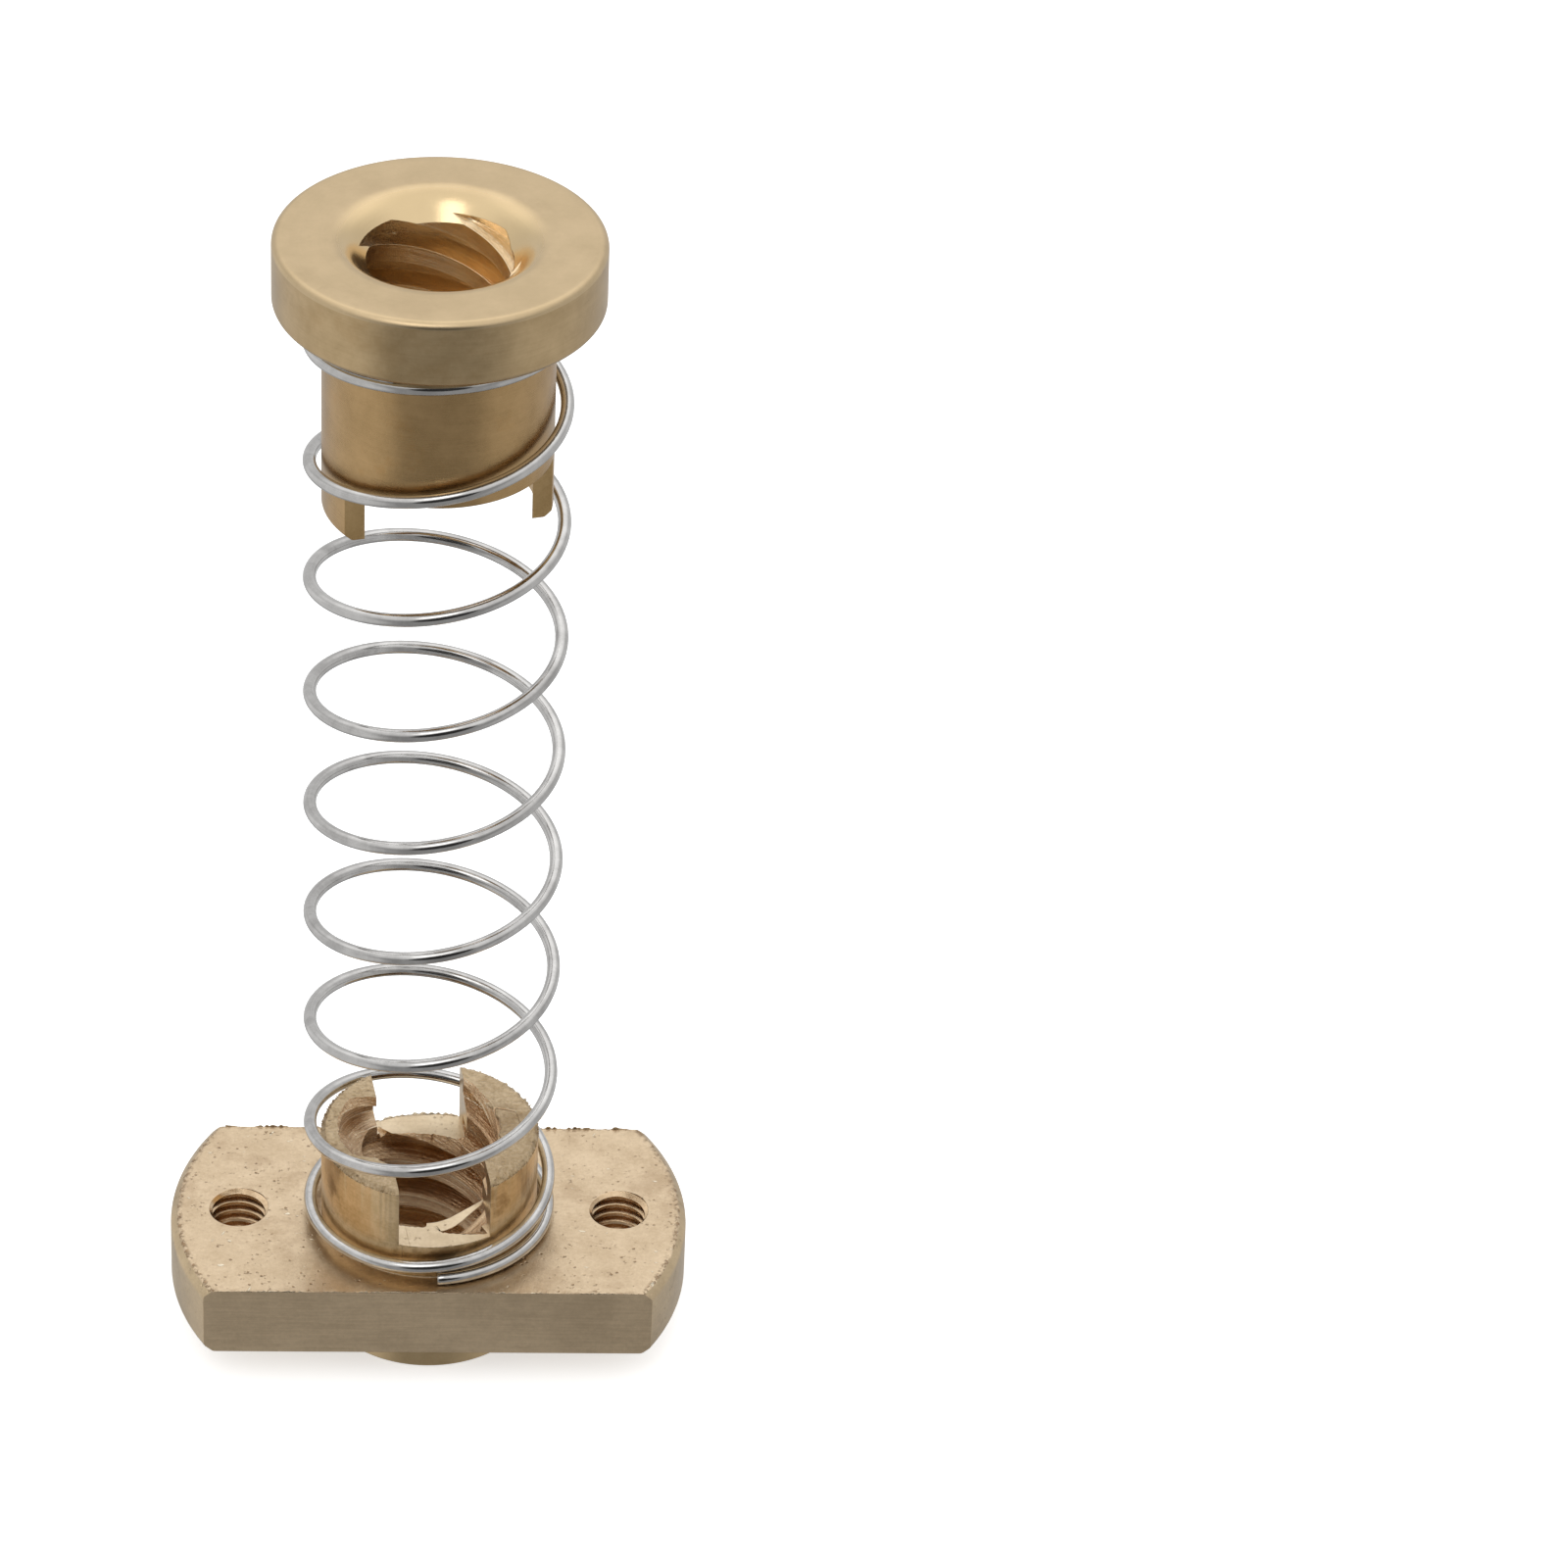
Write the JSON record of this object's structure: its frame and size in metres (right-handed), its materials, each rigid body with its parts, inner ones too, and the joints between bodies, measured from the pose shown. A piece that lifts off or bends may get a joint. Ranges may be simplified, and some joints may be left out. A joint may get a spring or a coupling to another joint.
{
  "type": "anti-backlash lead screw nut",
  "caption": "Flanged brass lead screw nut with a slotted hub, a compression spring and a tabbed follower nut that takes up backlash.",
  "frame": {"origin": "on the thread axis, in the plane of the flange's mounting face, between the two tapped holes", "axes": "+Z along the thread axis from the mounting face towards the follower nut; +X along the line of the two tapped holes"},
  "size_m": [0.0244, 0.0144, 0.0586],
  "materials": {
    "milled_brass": "milled and turned, satin",
    "spring_steel": "bright drawn wire",
    "turned_brass": "fine turned, satin"
  },
  "bodies": {
    "main_nut": {"main_nut": "milled_brass"},
    "spring": {"spring": "spring_steel"},
    "follower_nut": {"follower_nut": "turned_brass"}
  },
  "joints": [
    {"name": "spring_turn", "type": "hinge", "parent": "main_nut", "child": "spring", "pos_m": [0, 0, 0.0036], "axis": [0, 0, 1], "continuous": true},
    {"name": "follower_slide", "type": "slide", "parent": "spring", "child": "follower_nut", "axis": [0, 0, 1], "range_m": [-0.0347, 0], "stiffness_N_per_m": 114, "springref_m": 0.00055, "deforming": ["spring"]}
  ]
}
